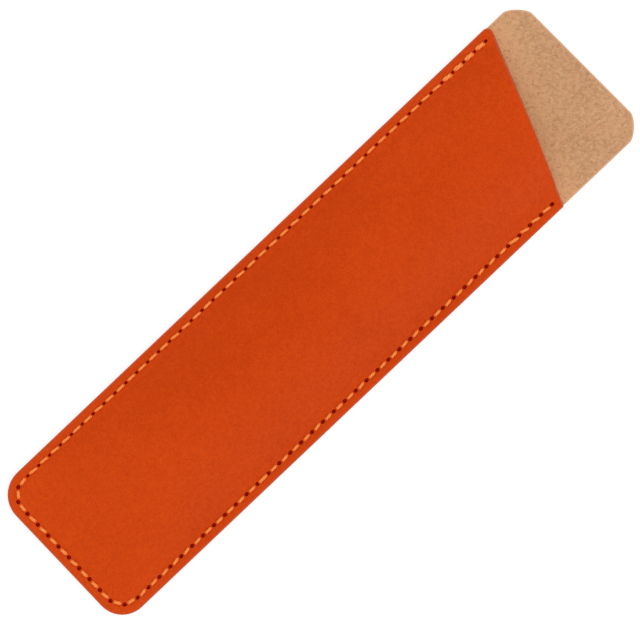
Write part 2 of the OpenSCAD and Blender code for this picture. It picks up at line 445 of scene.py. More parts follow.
front = cut_panel("front_leather", low_z=BACK_T, thick=FRONT_T, inset=0.0, end_y=MOUTH_L,
                  end_slope=-MOUTH_SLOPE, end_r=MOUTH_R, roundness=ROUND)
back_panel = cut_panel("back_leather", low_z=0.0, thick=BACK_T, inset=BACK_INSET,
                       end_y=END_MIDDLE, end_slope=END_SLOPE, end_r=END_R, roundness=CLIPPED)

# %% [markdown]
# ## The slant of the mouth's cut
# A knife seldom stands quite upright. The photo shows a thin strip of the mouth's cut edge from
# straight above, pink at the dyed face and grey-brown below, so the cut leans a little outwards
# towards the flesh side.

# %% Lean the mouth's cut
MOUTH_LEAN, CUT_REACH = 0.32, 0.05
for vertex in front.data.vertices:
    x, y, z = vertex.co / MM
    past_mouth = (y - BASE_Y - MOUTH_L + MOUTH_SLOPE * x) * math.cos(MOUTH_ANGLE)
    if past_mouth > -CUT_REACH:
        move = MOUTH_LEAN * (0.5 - (z - BACK_T) / FRONT_T) * MM
        vertex.co += move * Vector((math.sin(MOUTH_ANGLE), math.cos(MOUTH_ANGLE), 0))
front.data.update()
measure(front)

# %% [markdown]
# ## Lines to bend and press along
# A flat face can't bend, so the panel is cut across by many parallel planes. The lines are
# close where the leather changes most, beside the seam and at its two turns, and wide apart
# elsewhere. The back panel stays flat, so only its groove needs close lines.

# %% Cut the panels into strips
BESIDE_SEAM = (-1.0, -0.72, -0.5, -0.3, -0.1, 0.1, 0.3, 0.5, 0.72, 1.0)
BESIDE_FOOT = (0.75, 1.15)
ARCH_CLEAR, ARCH_STEP = 0.4, 1.0
TURN_FROM, TURN_TO, TURN_STEP = TURN_X + 0.27, SEAM_X - 1.25, 0.45
BASE_CLEAR, BASE_STEP = 0.5, 0.22
RISE_STEP, LONG_STEP = 0.9, 1.5
PAST_MOUTH = 6.0
BACK_ACROSS, BACK_ALONG, BACK_STEP = (-12, 12), (-70, 64), 4.0


def cut_lines(panel, places, axis):
    """Cuts the whole panel at each place along x (axis 0) or y (axis 1), in millimetres."""
    only(panel)
    bpy.ops.object.mode_set(mode="EDIT")
    normal = (1, 0, 0) if axis == 0 else (0, 1, 0)
    for place in places:
        bpy.ops.mesh.select_all(action="SELECT")
        bpy.ops.mesh.bisect(plane_co=Vector(normal) * place * MM, plane_no=normal,
                            threshold=2e-6)
    bpy.ops.object.mode_set(mode="OBJECT")
    measure(panel)


def steps(low, high, step):
    """Places from low to high, evenly, about one step apart."""
    count = max(1, round((high - low) / step))
    return [low + (high - low) * i / count for i in range(count + 1)]


arch_top_y = ARCH_BASE_Y + ARCH_RISE
side_lines = [side * (SEAM_X + beside) for side in (-1, 1) for beside in BESIDE_SEAM]
arch_lines = steps(-ARCH_HALF_W + ARCH_CLEAR, ARCH_HALF_W - ARCH_CLEAR, ARCH_STEP)
arch_lines += [side * (ARCH_HALF_W - beside) for side in (-1, 1) for beside in BESIDE_FOOT]
turn_lines = [side * x for side in (-1, 1) for x in steps(TURN_FROM, TURN_TO, TURN_STEP)]
base_lines = steps(BASE_CLEAR, TURN_Y, BASE_STEP)
rise_lines = steps(TURN_Y + BASE_CLEAR, arch_top_y, RISE_STEP)
long_lines = steps(arch_top_y + LONG_STEP, MOUTH_L + PAST_MOUTH, LONG_STEP)
cut_lines(front, side_lines + arch_lines + turn_lines, 0)
cut_lines(front, [BASE_Y + y for y in base_lines + rise_lines + long_lines], 1)
cut_lines(back_panel, side_lines + turn_lines + steps(*BACK_ACROSS, BACK_STEP), 0)
cut_lines(back_panel, [BASE_Y + y for y in base_lines] + steps(*BACK_ALONG, BACK_STEP), 1)

# %% [markdown]
# ## Pressing the seam in
# Pulled thread sinks into leather, so the front has a shallow valley under its stitches. On the
# back the stitches lie in a deeper cut groove, so the sleeve lies flat. Both are made by moving
# points, as with a modelling tool.

# %% Valley and groove
VALLEY_DEPTH, VALLEY_REACH = 0.24, 0.65
GROOVE_DEPTH, GROOVE_REACH = 0.74, 0.52


def press(panel, level, depth, reach, way, sharpness):
    """Moves the points of one face of the panel inwards, by their distance from the seam. A
    higher sharpness gives a flatter floor and steeper sides."""
    for vertex in panel.data.vertices:
        if abs(vertex.co.z - level * MM) < SAME_LEVEL:
            x, y = vertex.co.x / MM, vertex.co.y / MM - BASE_Y
            share = math.exp(-(seam_distance(x, y) / reach) ** sharpness)
            vertex.co.z += way * depth * share * MM
    panel.data.update()
    print(panel.name, "pressed in by", depth, "mm along the seam")


press(front, BACK_T + FRONT_T, VALLEY_DEPTH, VALLEY_REACH, way=-1, sharpness=2)
press(back_panel, 0.0, GROOVE_DEPTH, GROOVE_REACH, way=1, sharpness=4)

# %% [markdown]
# ## Stitch holes
# A needle pushes the leather down round each hole, so a hole is a small funnel and not a plain
# bore. One punch with that outline is drawn out ring by ring, copied to the 94 places of the
# seam and taken out of the panel with one Boolean. In the photo the holes on the right are drawn
# out along the seam, and those on the left are narrow. So the punch is stretched along and across
# the seam, differently for its left side, base and right side.

# %% Punch the holes
FRONT_PUNCH = ((0.64, 0.05), (0.60, 0.0), (0.55, -0.10), (0.49, -0.24), (0.46, -0.42),
               (0.45, -0.70), (0.44, -1.60))
BACK_PUNCH = ((0.60, 0.05), (0.56, 0.0), (0.52, -0.10), (0.48, -0.70), (0.45, -0.90), (0.42, -1.60))
PUNCH_SIDES = 20
HOLE_SHAPE = {"left": (0.95, 0.65), "base": (1.08, 0.92), "right": (1.15, 0.82)}


def punch(rings):
    """A closed punch, pointing down, from rings of radius and height in millimetres."""
    start_clean()
    bpy.ops.mesh.primitive_circle_add(vertices=PUNCH_SIDES, radius=rings[0][0] * MM,
                                      location=(0, 0, rings[0][1] * MM), fill_type="NGON")
    tool = bpy.context.object
    bpy.ops.object.transform_apply(location=True, rotation=True, scale=True)
    bpy.ops.object.mode_set(mode="EDIT")
    bpy.ops.mesh.select_all(action="SELECT")
    for (old_r, old_z), (new_r, new_z) in zip(rings, rings[1:]):
        bpy.ops.mesh.extrude_region_move(
            TRANSFORM_OT_translate={"value": (0, 0, (new_z - old_z) * MM)})
        share = new_r / old_r
        bpy.ops.transform.resize(value=(share, share, 1), center_override=(0, 0, new_z * MM))
    bpy.ops.mesh.select_all(action="SELECT")
    bpy.ops.mesh.normals_make_consistent(inside=False)
    bpy.ops.object.mode_set(mode="OBJECT")
    return tool


def seam_place(s, level, flip=False, reach=0.01):
    """The matrix that sets something on the seam at length s, in the frame, in metres.
    It is lined up with the seam's points as far ahead and behind as it reaches."""
    behind, ahead = seam_at(s - reach), seam_at(s + reach)
    point, heading = (behind + ahead) / 2, math.atan2(*reversed(ahead - behind))
    spot = Matrix.Translation(Vector((point.x, point.y + BASE_Y, level)) * MM)
    turn_on = Matrix.Rotation(heading, 4, "Z")
    over = Matrix.Rotation(math.pi if flip else 0.0, 4, "X")
    return spot @ turn_on @ over


def part_of_seam(s):
    """The side of the seam that a length along it is on. The turns count as the base."""
    return "left" if s < SEAM_PARTS[0] else "right" if s > SEAM_L - SEAM_PARTS[4] else "base"


def punch_panel(panel, rings, level, flip):
    """Punches all stitch holes from one face of the panel."""
    places = [seam_place(i * PITCH, level, flip)
              @ Matrix.Diagonal((*HOLE_SHAPE[part_of_seam(i * PITCH)], 1, 1))
              for i in range(STITCHES + 1)]
    tools = copies(punch(rings), places, "punches")
    holes = panel.modifiers.new("holes", "BOOLEAN")
    holes.operation = "DIFFERENCE"
    holes.solver = "EXACT"
    holes.object = tools
    apply_all(panel)
    bpy.data.objects.remove(tools)
    measure(panel)


punch_panel(front, FRONT_PUNCH, BACK_T + FRONT_T, False)
punch_panel(back_panel, BACK_PUNCH, 0.0, True)

# %% [markdown]
# ## Which leather shows where
# The same hide has a dyed orange grain side, a tan flesh side and a cut edge. Each face gets its
# finish by where it is while the panel is still flat: the grain side looks outwards, the flesh
# side into the pocket, and the edge is cut leather. Round the seam the dyed face is pulled down
# into the holes. Each point also keeps how far it is below the grain face, in millimetres, so
# that a finish can change with depth: the cut edge's own colours, and painted shade down the
# stitch holes.

# %% Sort the faces
GRAIN, FLESH, CUT = 0, 1, 2
NEAR_SEAM = 1.75
OVER_THE_EDGE = 0.03


def sort_faces(panel, grain_level, grain_way, thick):
    """Gives each face its place in the list of finishes."""
    for face in panel.data.polygons:
        sunk = grain_way * (grain_level - face.center.z / MM)
        x, y = face.center.x / MM, face.center.y / MM - BASE_Y
        if sunk > thick - OVER_THE_EDGE:
            face.material_index = FLESH
        elif seam_distance(x, y) < NEAR_SEAM or sunk < OVER_THE_EDGE:
            face.material_index = GRAIN
        else:
            face.material_index = CUT
    counts = [sum(face.material_index == i for face in panel.data.polygons)
              for i in (GRAIN, FLESH, CUT)]
    print(panel.name, "grain, flesh and cut faces:", counts)


def keep_for_finish(obj, name, kind, value_at):
    """Keeps a value for each point, worked out from its place, as an attribute."""
    attribute = obj.data.attributes.new(name, kind, "POINT")
    field = "vector" if kind == "FLOAT_VECTOR" else "value"
    for vertex, kept in zip(obj.data.vertices, attribute.data):
        setattr(kept, field, value_at(vertex.co))


for panel, grain_level, grain_way, thick in ((front, BACK_T + FRONT_T, 1, FRONT_T),
                                             (back_panel, 0.0, -1, BACK_T)):
    sort_faces(panel, grain_level, grain_way, thick)
    keep_for_finish(panel, "below_grain", "FLOAT",
                    lambda co: grain_way * (grain_level - co.z / MM))

# %% [markdown]
# ## Forming the front
# Now the flat, punched panel is carried onto the arch, as damp leather is pressed over a former.

# %% Form the front panel
SMOOTH_ANGLE = math.radians(38)
for vertex in front.data.vertices:
    x, y, z = vertex.co / MM
    new = formed(x, y - BASE_Y, z - BACK_T)
    vertex.co = Vector((new.x, new.y + BASE_Y, new.z)) * MM
front.data.update()
for panel in (front, back_panel):
    only(panel)
    bpy.ops.object.shade_smooth_by_angle(angle=SMOOTH_ANGLE)
    measure(panel)

# %% [markdown]
# ## One stitch
# The thread is three plies twisted together. A stitch starts as a small clover-shaped ring. It is
# drawn out and turned a little at each step, which lays the plies round each other, and a curve
# then bends it: up out of one hole, along the leather and down into the next. It is thin where it
# is pulled over a hole's rim, and swells at its ends, where the two threads lock and fill the hole.
# Each point keeps where it was on the straight cord, for the pattern of the fibres and the
# painted light on the plies, and how far below the leather's face it ends up, for the painted
# light on the top and the painted shade in the hole.

# %% Lay the plies
PLIES = 3
RING_POINTS = 12
CORD_R = 0.35
PLY_DEPTH = 0.10
CORD_STEPS = 26
TWIST_PER_MM = math.radians(105)


def twisted_cord(name, length, radius):
    """A straight cord along x, from 0 to its length, with a twisted clover section."""
    start_clean()
    bpy.ops.mesh.primitive_circle_add(vertices=RING_POINTS, radius=radius * MM,
                                      fill_type="NGON", rotation=(0, math.pi / 2, 0))
    cord = bpy.context.object
    cord.name = name
    bpy.ops.object.transform_apply(location=True, rotation=True, scale=True)
    for vertex in cord.data.vertices:
        angle = math.atan2(vertex.co.z, vertex.co.y)
        vertex.co *= 1 - PLY_DEPTH * (1 - math.cos(PLIES * angle))
    bpy.ops.object.mode_set(mode="EDIT")
    bpy.ops.mesh.select_all(action="SELECT")
    step = length / CORD_STEPS
    for i in range(CORD_STEPS):
        bpy.ops.mesh.extrude_region_move(TRANSFORM_OT_translate={"value": (step * MM, 0, 0)})
        bpy.ops.transform.rotate(value=TWIST_PER_MM * step, orient_axis="X",
                                 center_override=((i + 1) * step * MM, 0, 0))
    bpy.ops.mesh.select_all(action="SELECT")
    bpy.ops.mesh.normals_make_consistent(inside=False)
    bpy.ops.object.mode_set(mode="OBJECT")
    return cord


# %% The path of a stitch
# OVER_THE_RIM is the path beside a hole: how far from its middle, how high above the leather
LOCK_STAND = 0.3
OVER_THE_RIM = ((0.06, -0.70), (0.26, -0.62), (0.64, -0.36), (0.78, 0.04), (0.94, 0.23))
CROWN_RISE = 0.03
FRONT_STITCH = {"half_run": 0.38, "crown": 0.31, "depth": 1.15}


def path_length(points):
    return sum((b - a).length for a, b in zip(points, points[1:]))


def smooth_path(points, rounds=3):
    """Cuts the corners of a path again and again, which leaves its ends where they are."""
    for _ in range(rounds):
        cut = [points[0]]
        for a, b in zip(points, points[1:]):
            cut += [a.lerp(b, 0.25), a.lerp(b, 0.75)]
        points = cut + [points[-1]]
    return points


def stitch_path(half_run, crown, depth):
    """The line that a stitch follows, from deep in one hole to deep in the next."""
    half = PITCH / 2
    side = [(half, -depth), (half, LOCK_STAND - depth)]
    side += [(half - inwards, z) for inwards, z in OVER_THE_RIM] + [(half_run, crown)]
    points = [Vector((-x, 0, z)) for x, z in side]
    points += [Vector((0, 0, crown + CROWN_RISE))]
    return smooth_path(points + [Vector((x, 0, z)) for x, z in reversed(side)])


front_length = path_length(stitch_path(**FRONT_STITCH))
print("a stitch on the front takes", round(front_length, 2), "mm of thread")

# %% Bend it to a stitch
END_THIN, END_REACH, END_FULLNESS = 0.55, 0.9, 0.8
LOCK_R, LOCK_L = 0.50, 0.5
ON_AXIS = 0.01


def bend_along(cord, points):
    """Bends a straight cord along a path of points."""
    bpy.ops.curve.primitive_bezier_curve_add(radius=1)
    route = bpy.context.object
    route.data.splines.clear()
    line = route.data.splines.new("POLY")
    line.points.add(len(points) - 1)
    for point, place in zip(line.points, points):
        point.co = (*(place * MM), 1)
    bend = cord.modifiers.new("bend", "CURVE")
    bend.object = route
    bend.deform_axis = "POS_X"
    apply_all(cord)
    bpy.data.objects.remove(route)


def stitch(name, half_run, crown, depth, radius):
    """One stitch along x, centred, from hole to hole. Heights are above the leather it lies on."""
    points = stitch_path(half_run, crown, depth)
    length = path_length(points)
    cord = twisted_cord(name, length, radius)
    keep_for_finish(cord, "cord_lay", "FLOAT_VECTOR", lambda co: co / MM)
    for vertex in cord.data.vertices:
        along = vertex.co.x / MM
        near_end = max(0.0, min(along, length - along))
        share = END_THIN + (1 - END_THIN) * clamped((near_end - LOCK_L) / END_REACH) ** END_FULLNESS
        swollen = max(0.0, 1 - near_end / LOCK_L)
        own_r = math.hypot(vertex.co.y, vertex.co.z) / MM
        if own_r > ON_AXIS:
            share = share * (1 - swollen) + LOCK_R / own_r * swollen
        vertex.co.y *= share
        vertex.co.z *= share
    bend_along(cord, points)
    keep_for_finish(cord, "sunk", "FLOAT", lambda co: -co.z / MM)
    only(cord)
    bpy.ops.object.shade_smooth()
    measure(cord)
    return cord


front_stitch = stitch("front_stitches", **FRONT_STITCH, radius=CORD_R)

# %% [markdown]
# ## Sewing
# The stitch is copied from hole to hole. In the photo the stitches lean one way down the left
# side and the other way elsewhere, and they are shorter and fuller at the base and on the right,
# so each part of the seam has its own lean in degrees, stretch and swell. Real stitches are never
# quite alike, so each also lies a little turned and shifted, from a fixed random seed. At both
# ends the thread is tacked back over itself, so the first and last stitches are fuller and lie
# more across. The photo shows two places on the right side where the sewing was started again,
# over a stitch. The legs in the holes stay as they are.

# %% Needle thread
SEWN = {"left": (-2, 0.99, 1.0), "base": (5.2, 0.80, 1.20), "right": (5.3, 0.80, 1.08)}
TACKED_DOWN = {"left": (-5, 1.06, 1.5), "right": (-10, 0.92, 1.08)}
RESTARTS = (46.0, 123.5)
RESTART_STRETCH, RESTART_SWELL = 1.12, 1.15
LEAN_WANDER = math.tan(math.radians(4))
STITCH_SHIFT = 0.04
LEG_REACH = 0.5


def seam_stitches(model, level, flip, name, seed):
    """Copies a stitch model to all places along the seam."""
    chance = random.Random(seed)
    half = PITCH / 2

    def lay_down(mesh, i):
        s = (i + 0.5) * PITCH
        tacked = i < TACKED or i >= STITCHES - TACKED
        degrees, stretch, swell = (TACKED_DOWN if tacked else SEWN)[part_of_seam(s)]
        from_base = s - SEAM_L + SEAM_PARTS[4] + TURN_Y
        if any(abs(from_base - place) < half for place in RESTARTS):
            stretch, swell = RESTART_STRETCH, RESTART_SWELL
        lean = math.tan(math.radians(degrees)) + chance.uniform(-1, 1) * LEAN_WANDER
        shift = chance.uniform(-1, 1) * STITCH_SHIFT
        for vertex in mesh.vertices:
            x = vertex.co.x / MM
            on_top = clamped((half - abs(x)) / LEG_REACH)
            vertex.co.y *= 1 + (swell - 1) * on_top
            vertex.co.y += (lean * x + shift) * on_top * MM
            vertex.co.x *= 1 + (stretch - 1) * on_top

    places = [seam_place((i + 0.5) * PITCH, level, flip, half) for i in range(STITCHES)]
    piece = copies(model, places, name, lay_down)
    measure(piece)
    return piece


front_floor = BACK_T + FRONT_T - VALLEY_DEPTH
front_stitches = seam_stitches(front_stitch, front_floor, False, "front_stitches", seed=7)

# %% [markdown]
# ## The other thread
# A lockstitch has a second thread. It makes the same stitches on the back and loops round the
# first one inside the leather. It lies in the back's groove, a little flatter.

# %% Bobbin thread
BACK_CORD_R = 0.31
BACK_STITCH = {"half_run": 0.60, "crown": 0.30, "depth": 0.80}
back_stitch = stitch("back_stitches", **BACK_STITCH, radius=BACK_CORD_R)
back_stitches = seam_stitches(back_stitch, GROOVE_DEPTH, True, "back_stitches", seed=11)

# %% [markdown]
# ## Shared effects
# Three effects are used by more than one finish or belong to leather of any colour, so each is a
# node group. They read Object coordinates, turned into millimetres, so the pattern stays on the
# leather and each size is written as a maker would measure it.

# %% Group and value helpers
def new_group(name, inputs, outputs):
    """A shader node group. Inputs are (name, default), and a default of None is a vector."""
    group = bpy.data.node_groups.new(name, "ShaderNodeTree")
    for title, default in inputs:
        kind = "NodeSocketVector" if default is None else "NodeSocketFloat"
        socket = group.interface.new_socket(title, in_out="INPUT", socket_type=kind)
        if default is not None:
            socket.default_value = default
    for title in outputs:
        group.interface.new_socket(title, in_out="OUTPUT", socket_type="NodeSocketFloat")
    print("group", name, "gives", ", ".join(outputs))
    return group, group.nodes.new("NodeGroupInput"), group.nodes.new("NodeGroupOutput")


def give_out(group, out, **values):
    """Links each value to the group's output of that name."""
    for name, value in values.items():
        group.links.new(value, out.inputs[name])


def use_group(tree, group, inputs):
    return add(tree, "ShaderNodeGroup", inputs, node_tree=group)


def vector_maths(tree, operation, first, second=(0, 0, 0)):
    """SCALE takes a number as its second value, and a dot product or a length gives one."""
    given = {0: first, "Scale" if operation == "SCALE" else 1: second}
    made = add(tree, "ShaderNodeVectorMath", given, operation=operation)
    return made.outputs["Value" if operation in ("DOT_PRODUCT", "LENGTH") else "Vector"]


def in_millimetres(tree, vector):
    return vector_maths(tree, "SCALE", vector, 1 / MM)


def weighed(tree, *parts):
    """The sum of values, each times its weight."""
    terms = [maths(tree, "MULTIPLY", value, weight) for value, weight in parts]
    total = terms[0]
    for term in terms[1:]:
        total = maths(tree, "ADD", total, term)
    return total


def stretch_range(tree, value, low, high, to_low=0.0, to_high=1.0, kind="LINEAR"):
    """Carries the range from low to high over to another range, and holds it there."""
    return add(tree, "ShaderNodeMapRange", {"Value": value, "From Min": low, "From Max": high,
                                            "To Min": to_low, "To Max": to_high},
               interpolation_type=kind).outputs[0]


def noise(tree, vector, size, detail=2.0, rough=0.5):
    """Noise from 0 to 1 with patches about so many millimetres wide."""
    return add(tree, "ShaderNodeTexNoise", {"Vector": vector, "Scale": 1 / size, "Detail": detail,
                                            "Roughness": rough}).outputs["Fac"]


def wavered(tree, place, scale, detail, by):
    """A place moved about a little by noise, so that a pattern's lines don't run straight."""
    waver = add(tree, "ShaderNodeTexNoise", {"Vector": place, "Scale": scale, "Detail": detail})
    move = vector_maths(tree, "SCALE", waver.outputs["Color"], by)
    return vector_maths(tree, "ADD", place, move)


# %% [markdown]
# ### Uneven dye
# Dye takes unevenly, so a hide has soft, wide patches with smaller ones in them. Two noises are
# added, and the contrast spreads the sum about its middle.

# %% Uneven dye
WIDE_PATCH, SMALL_PATCH = {"size": 14.0, "detail": 2.0}, {"size": 2.6, "detail": 3.0}
dye_patches, given, out = new_group("dye_patches", (("Vector", None), ("Contrast", 1.0)),
                                    ("Patches",))
place = in_millimetres(dye_patches, given.outputs["Vector"])
wide = noise(dye_patches, place, **WIDE_PATCH)
small = noise(dye_patches, place, **SMALL_PATCH)
both = weighed(dye_patches, (wide, 0.6), (small, 0.4))
middle = maths(dye_patches, "SUBTRACT", both, 0.5)
spread = maths(dye_patches, "MULTIPLY", middle, given.outputs["Contrast"])
give_out(dye_patches, out, Patches=maths(dye_patches, "ADD", spread, 0.5))

# %% [markdown]
# ### Pebbled grain
# The outer side of a hide is a mosaic of tiny pebbles with creases between them. The cells of a
# Voronoi texture give the pebbles, and their borders the creases. Straight borders would look
# drawn, so the cells are bent by noise, and in some places the creases almost fade out.

# %% Pebbled grain
PEBBLE_WAVER = {"scale": 1.4, "detail": 2.0, "by": 0.35}
CREASE_WIDTH = 0.21
CLUSTER_SIZE, CLUSTER_RANGE = 0.9, (0.38, 0.62, 0.25, 1.0)
FINE_SIZE = 0.12
hide_grain, given, out = new_group("hide_grain", (("Vector", None), ("Pebble Scale", 2.2)),
                                   ("Height", "Creases"))
place = in_millimetres(hide_grain, given.outputs["Vector"])
cells = add(hide_grain, "ShaderNodeTexVoronoi",
            {"Vector": wavered(hide_grain, place, **PEBBLE_WAVER),
             "Scale": given.outputs["Pebble Scale"]}, feature="DISTANCE_TO_EDGE")
crease = stretch_range(hide_grain, cells.outputs["Distance"], 0.0, CREASE_WIDTH, 1.0, 0.0,
                       "SMOOTHSTEP")
clusters = stretch_range(hide_grain, noise(hide_grain, place, CLUSTER_SIZE), *CLUSTER_RANGE)
crease = maths(hide_grain, "MULTIPLY", crease, clusters)
height = weighed(hide_grain, (noise(hide_grain, place, FINE_SIZE), 0.5), (crease, -1.0))
give_out(hide_grain, out, Height=height, Creases=crease)

# %% [markdown]
# ### Loose fibres
# The flesh side and a cut edge show the hide's fibres: soft streaks that lie mostly one way, fluff
# on them, a few short wrinkles and dark specks. The streaks are noise stretched along a turned
# direction. A wrinkle is where another noise passes its middle value, kept in some places only.

# %% Loose fibres
FIBRE_TURN, FIBRE_SIZE = math.radians(46), (0.95, 0.6, 1.0)
FIBRE_WAVER = {"scale": 0.5, "detail": 1.0, "by": 1.2}
FLUFF = {"size": 0.35, "detail": 2.0, "rough": 0.6}
WRINKLE_WIDTH, WRINKLE_PLACES, SPECK_PLACES = 0.05, (0.52, 0.62), (0.68, 0.76)
loose_fibres, given, out = new_group("loose_fibres", (("Vector", None), ("Fineness", 1.0)),
                                     ("Height", "Streaks", "Wrinkles", "Specks"))
place = in_millimetres(loose_fibres, given.outputs["Vector"])
place = vector_maths(loose_fibres, "SCALE", place, given.outputs["Fineness"])
turned = add(loose_fibres, "ShaderNodeMapping",
             {"Vector": wavered(loose_fibres, place, **FIBRE_WAVER),
              "Rotation": (0, 0, FIBRE_TURN), "Scale": FIBRE_SIZE},
             vector_type="TEXTURE").outputs[0]
streaks = noise(loose_fibres, turned, size=1.0)
fluff = noise(loose_fibres, turned, **FLUFF)
fold = noise(loose_fibres, turned, size=1.0, detail=1.0)
off_fold = maths(loose_fibres, "ABSOLUTE", maths(loose_fibres, "SUBTRACT", fold, 0.5))
in_fold = stretch_range(loose_fibres, off_fold, WRINKLE_WIDTH, 0.0, kind="SMOOTHSTEP")
folded = stretch_range(loose_fibres, noise(loose_fibres, place, size=1.2, detail=1.0),
                       *WRINKLE_PLACES, kind="SMOOTHSTEP")
wrinkles = maths(loose_fibres, "MULTIPLY", in_fold, folded)
specks = stretch_range(loose_fibres, noise(loose_fibres, place, size=0.6, detail=1.0),
                       *SPECK_PLACES, kind="SMOOTHSTEP")
height = weighed(loose_fibres, (streaks, 1.8), (fluff, 0.7), (wrinkles, -0.5))
give_out(loose_fibres, out, Height=height, Streaks=streaks, Wrinkles=wrinkles, Specks=specks)

# %% Finish helpers
def blend(tree, share, first, second):
    """Mixes two colours by a value that changes over the surface."""
    return add(tree, "ShaderNodeMix", {0: share, 6: first, 7: second},
               data_type="RGBA").outputs[2]


def kept_value(tree, name):
    """A value that was kept on the mesh for this finish."""
    return add(tree, "ShaderNodeAttribute", attribute_name=name).outputs["Fac"]


def dress(material, output, bump, skin):
    """The last step of a finish: its bump, and the Principled BSDF that takes all the rest."""
    tree = material.node_tree
    raised = add(tree, "ShaderNodeBump", bump)
    shader = add(tree, "ShaderNodeBsdfPrincipled", {**skin, "Normal": raised.outputs[0]})
    tree.links.new(shader.outputs[0], output.inputs["Surface"])
    print("finish", material.name, "of", len(tree.nodes), "nodes")


# %% [markdown]
# ## The orange grain side
# The dyed side is smooth, low in gloss and deep in colour. It has faint patches and specks, is a
# little lighter towards both ends of the sleeve, and its fine grain only shows close up. Where
# the thread pulls it down it is darker, partly as pressed leather is and partly by painted shade
# down the funnels, and the holes are painted dark as shade. All of that is colour blended over
# colour, by the shared effects and by the depth that each point keeps.

# %% Orange grain side
ORANGE_DEEP = (0.574, 0.0500, 0.0014, 1)
ORANGE_LIGHT = (0.682, 0.0675, 0.0042, 1)
ORANGE_CREASE = (0.42, 0.028, 0.002, 1)
# The pulled colour is the pressed leather's darker tone with painted shade added, and the hole
# colour is painted shade.
ORANGE_PULLED_AND_SHADED = (0.36, 0.012, 0.001, 1)
HOLE_PAINTED_SHADE = (0.50, 0.0130, 0.0030, 1)
LIGHTER_ENDS = (0.0, 1.0, -0.12, 0.42)
SPECK_SIZE, SPECKLED = 0.30, (0.3, 0.7, -0.4, 0.4)
CREASE_SHARE = 0.46
PULLED_DEPTH, RIM_DEPTH, HOLE_DEPTH = 0.26, 0.55, 1.0
ORANGE_ROUGH = (0.2, 0.8, 0.33, 0.43)
grain_side, tree, output = empty_material("orange_grain")
where = add(tree, "ShaderNodeTexCoord").outputs["Object"]
place = in_millimetres(tree, where)
patches = use_group(tree, dye_patches, {"Vector": where, "Contrast": 1.6}).outputs["Patches"]
grain = use_group(tree, hide_grain, {"Vector": where, "Pebble Scale": 3.2}).outputs
along = vector_maths(tree, "DOT_PRODUCT", place, (0, -1 / BASE_Y, 0))
near_ends = maths(tree, "MULTIPLY", along, along)
lighter = maths(tree, "ADD", patches, stretch_range(tree, near_ends, *LIGHTER_ENDS))
specks = stretch_range(tree, noise(tree, place, SPECK_SIZE, detail=1.0), *SPECKLED)
colour = blend(tree, maths(tree, "ADD", lighter, specks), ORANGE_DEEP, ORANGE_LIGHT)
creases = maths(tree, "MULTIPLY", grain["Creases"], CREASE_SHARE)
colour = blend(tree, creases, colour, ORANGE_CREASE)
depth = kept_value(tree, "below_grain")
# Painted shade down each funnel, over the pressed leather's own darker tone, then painted shade in
# the holes.
colour = blend(tree, stretch_range(tree, depth, PULLED_DEPTH, RIM_DEPTH), colour, ORANGE_PULLED_AND_SHADED)
colour = blend(tree, stretch_range(tree, depth, RIM_DEPTH, HOLE_DEPTH), colour, HOLE_PAINTED_SHADE)
dress(grain_side, output,
      {"Height": grain["Height"], "Strength": 0.45, "Distance": 0.04 * MM},
      {"Base Color": colour, "Roughness": stretch_range(tree, patches, *ORANGE_ROUGH),
       "Specular IOR Level": 0.05})

# %% [markdown]
# ## The tan flesh side
# The undyed side is suede: no gloss at all, only fibres, with a little sheen where they stand up.
# Its colour goes from dark to light with the streaks and the patches, is pinker in places, and
# has painted light beside the mouth, warmer and lighter, for the light that the orange edge
# throws onto it.

# %% Tan flesh side
TAN_DARK = (0.49, 0.250, 0.120, 1)
TAN_LIGHT = (0.72, 0.410, 0.215, 1)
TAN_PINK = (0.66, 0.335, 0.190, 1)
# The warm light tan by the mouth is painted light, thrown there by the orange edge.
TAN_BOUNCE_LIGHT = (0.76, 0.390, 0.185, 1)
TAN_SPECK = (0.36, 0.160, 0.070, 1)
STREAKED = (0.37, 0.63)
PINK_SIZE, PINKER = 3.2, (0.45, 0.7, 0.0, 0.45)
BOUNCE_REACH, BOUNCE_SHARE = 8.0, 0.6
SPECK_SHARE, WRINKLE_SHARE = 0.55, 0.38
flesh_side, tree, output = empty_material("tan_flesh")
where = add(tree, "ShaderNodeTexCoord").outputs["Object"]
place = in_millimetres(tree, where)
fibres = use_group(tree, loose_fibres, {"Vector": where, "Fineness": 1.0}).outputs
patches = use_group(tree, dye_patches, {"Vector": where, "Contrast": 2.2}).outputs["Patches"]
streaks = stretch_range(tree, fibres["Streaks"], *STREAKED)
colour = blend(tree, weighed(tree, (streaks, 0.5), (patches, 0.5)), TAN_DARK, TAN_LIGHT)
pinker = stretch_range(tree, noise(tree, place, PINK_SIZE), *PINKER)
colour = blend(tree, pinker, colour, TAN_PINK)
mouth_way = (math.sin(MOUTH_ANGLE), math.cos(MOUTH_ANGLE), 0)
mouth_at = (BASE_Y + MOUTH_L) * math.cos(MOUTH_ANGLE)
past_mouth = vector_maths(tree, "DOT_PRODUCT", place, mouth_way)
# Painted light beside the mouth: warmer and lighter, for the orange edge's bounce.
bounce_lit = stretch_range(tree, past_mouth, mouth_at, mouth_at + BOUNCE_REACH, BOUNCE_SHARE, 0.0)
colour = blend(tree, bounce_lit, colour, TAN_BOUNCE_LIGHT)
marks = maths(tree, "MAXIMUM", maths(tree, "MULTIPLY", fibres["Specks"], SPECK_SHARE),
              maths(tree, "MULTIPLY", fibres["Wrinkles"], WRINKLE_SHARE))
colour = blend(tree, marks, colour, TAN_SPECK)
dress(flesh_side, output,
      {"Height": fibres["Height"], "Strength": 0.75, "Distance": 0.20 * MM},
      {"Base Color": colour, "Roughness": 0.95, "Specular IOR Level": 0.1,
       "Sheen Weight": 0.12, "Sheen Roughness": 0.5})
